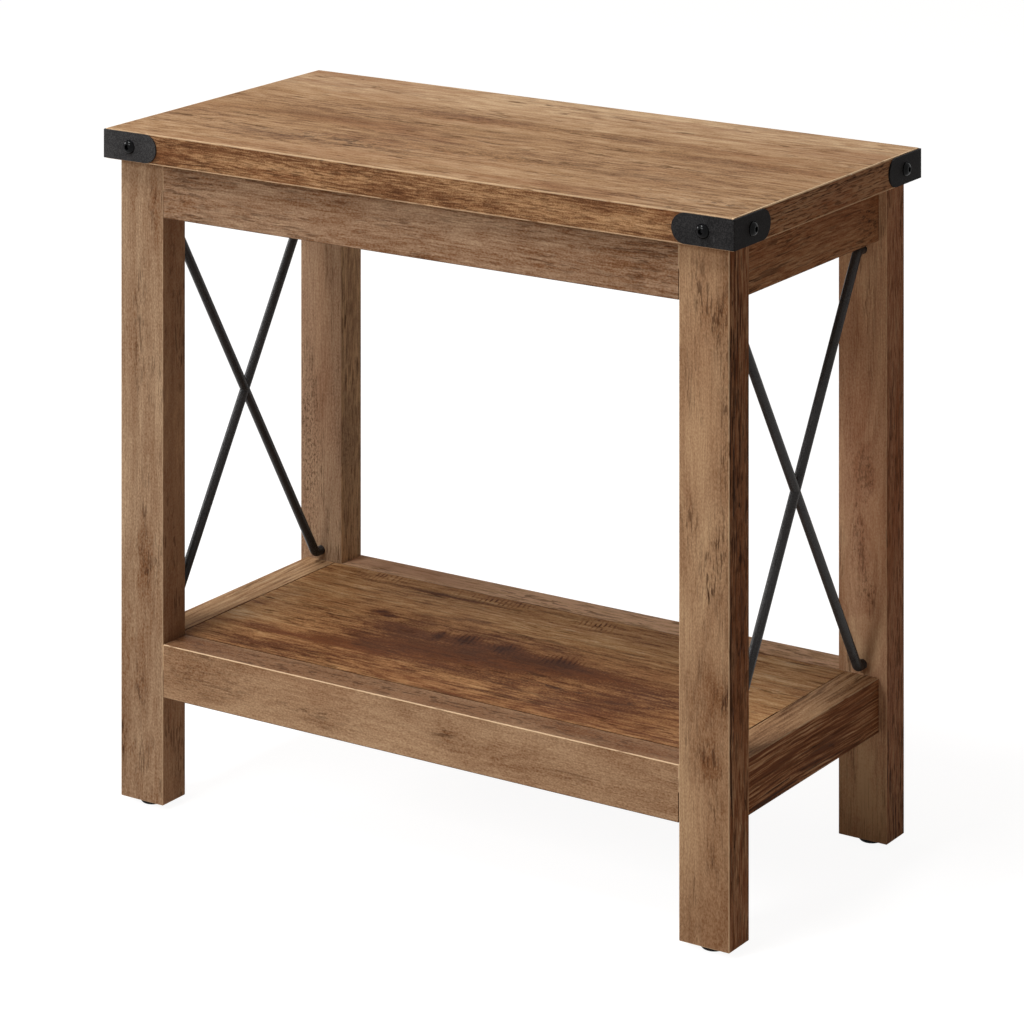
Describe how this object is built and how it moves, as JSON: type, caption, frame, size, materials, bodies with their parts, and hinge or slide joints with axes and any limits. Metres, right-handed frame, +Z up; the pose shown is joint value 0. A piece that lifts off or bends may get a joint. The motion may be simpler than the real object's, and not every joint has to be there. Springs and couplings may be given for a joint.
{
  "type": "two-tier side table",
  "caption": "Narrow two-tier side table: board top with black corner brackets, square legs, framed shelf, crossed rods at the ends and levelling feet.",
  "frame": {"origin": "on the floor under the middle of the table", "axes": "+X along the long side to the right as seen from the front, +Y from front to back, +Z up"},
  "size_m": [0.6096, 0.3096, 0.559],
  "materials": {
    "oak_top": "satin oak-look laminate, grain along X",
    "oak_shelf": "satin oak-look laminate, grain along X",
    "oak_leg": "satin oak-look laminate, grain upright",
    "oak_long_member": "satin oak-look laminate, grain along X",
    "oak_side_member": "satin oak-look laminate, grain along Y",
    "black_plate": "matte black powder coat",
    "black_screw": "semi-gloss black",
    "black_rod": "satin black powder coat",
    "foot_plastic": "moulded black",
    "zinc_stud": "zinc plated",
    "zinc_insert": "zinc plated",
    "zinc_bolt": "zinc plated",
    "cast_cam": "bare zinc casting",
    "beech_dowel": "bare beech"
  },
  "bodies": {
    "table": {"top_panel": "oak_top", "shelf_panel": "oak_shelf", "leg_front_left": "oak_leg", "leg_front_right": "oak_leg", "leg_rear_left": "oak_leg", "leg_rear_right": "oak_leg", "front_apron": "oak_long_member", "rear_apron": "oak_long_member", "front_rail": "oak_long_member", "rear_rail": "oak_long_member", "left_apron": "oak_side_member", "right_apron": "oak_side_member", "left_rail": "oak_side_member", "right_rail": "oak_side_member", "corner_bracket_front_left": "black_plate", "corner_bracket_front_right": "black_plate", "corner_bracket_rear_left": "black_plate", "corner_bracket_rear_right": "black_plate", "bracket_screws": "black_screw", "left_brace_rising_rod": "black_rod", "left_brace_falling_rod": "black_rod", "right_brace_rising_rod": "black_rod", "right_brace_falling_rod": "black_rod", "leg_inserts": "zinc_insert", "apron_cam_bolts": "zinc_bolt", "rail_cam_bolts": "zinc_bolt", "top_cam_bolts": "zinc_bolt", "shelf_cam_bolts": "zinc_bolt", "apron_cam_locks": "cast_cam", "rail_cam_locks": "cast_cam", "top_cam_locks": "cast_cam", "shelf_cam_locks": "cast_cam", "apron_dowels": "beech_dowel", "rail_dowels": "beech_dowel", "top_dowels": "beech_dowel", "shelf_dowels": "beech_dowel"},
    "foot_front_left": {"foot_pad_front_left": "foot_plastic"},
    "stud_front_left": {"foot_stud_front_left": "zinc_stud"},
    "foot_front_right": {"foot_pad_front_right": "foot_plastic"},
    "stud_front_right": {"foot_stud_front_right": "zinc_stud"},
    "foot_rear_left": {"foot_pad_rear_left": "foot_plastic"},
    "stud_rear_left": {"foot_stud_rear_left": "zinc_stud"},
    "foot_rear_right": {"foot_pad_rear_right": "foot_plastic"},
    "stud_rear_right": {"foot_stud_rear_right": "zinc_stud"}
  },
  "joints": [
    {"name": "foot_front_left_travel", "type": "slide", "parent": "table", "child": "foot_front_left", "axis": [0, 0, -1], "range_m": [0, 0.008]},
    {"name": "stud_front_left_turn", "type": "hinge", "parent": "foot_front_left", "child": "stud_front_left", "pos_m": [-0.269, -0.126, 0], "axis": [0, 0, -1], "range_deg": [0, 2880]},
    {"name": "foot_front_right_travel", "type": "slide", "parent": "table", "child": "foot_front_right", "axis": [0, 0, -1], "range_m": [0, 0.008]},
    {"name": "stud_front_right_turn", "type": "hinge", "parent": "foot_front_right", "child": "stud_front_right", "pos_m": [0.269, -0.126, 0], "axis": [0, 0, -1], "range_deg": [0, 2880]},
    {"name": "foot_rear_left_travel", "type": "slide", "parent": "table", "child": "foot_rear_left", "axis": [0, 0, -1], "range_m": [0, 0.008]},
    {"name": "stud_rear_left_turn", "type": "hinge", "parent": "foot_rear_left", "child": "stud_rear_left", "pos_m": [-0.269, 0.126, 0], "axis": [0, 0, -1], "range_deg": [0, 2880]},
    {"name": "foot_rear_right_travel", "type": "slide", "parent": "table", "child": "foot_rear_right", "axis": [0, 0, -1], "range_m": [0, 0.008]},
    {"name": "stud_rear_right_turn", "type": "hinge", "parent": "foot_rear_right", "child": "stud_rear_right", "pos_m": [0.269, 0.126, 0], "axis": [0, 0, -1], "range_deg": [0, 2880]}
  ],
  "couplings": [
    {"joint": "stud_front_left_turn", "follows": "foot_front_left_travel", "rad_per_m": 6283.2},
    {"joint": "stud_front_right_turn", "follows": "foot_front_right_travel", "rad_per_m": 6283.2},
    {"joint": "stud_rear_left_turn", "follows": "foot_rear_left_travel", "rad_per_m": 6283.2},
    {"joint": "stud_rear_right_turn", "follows": "foot_rear_right_travel", "rad_per_m": 6283.2}
  ]
}
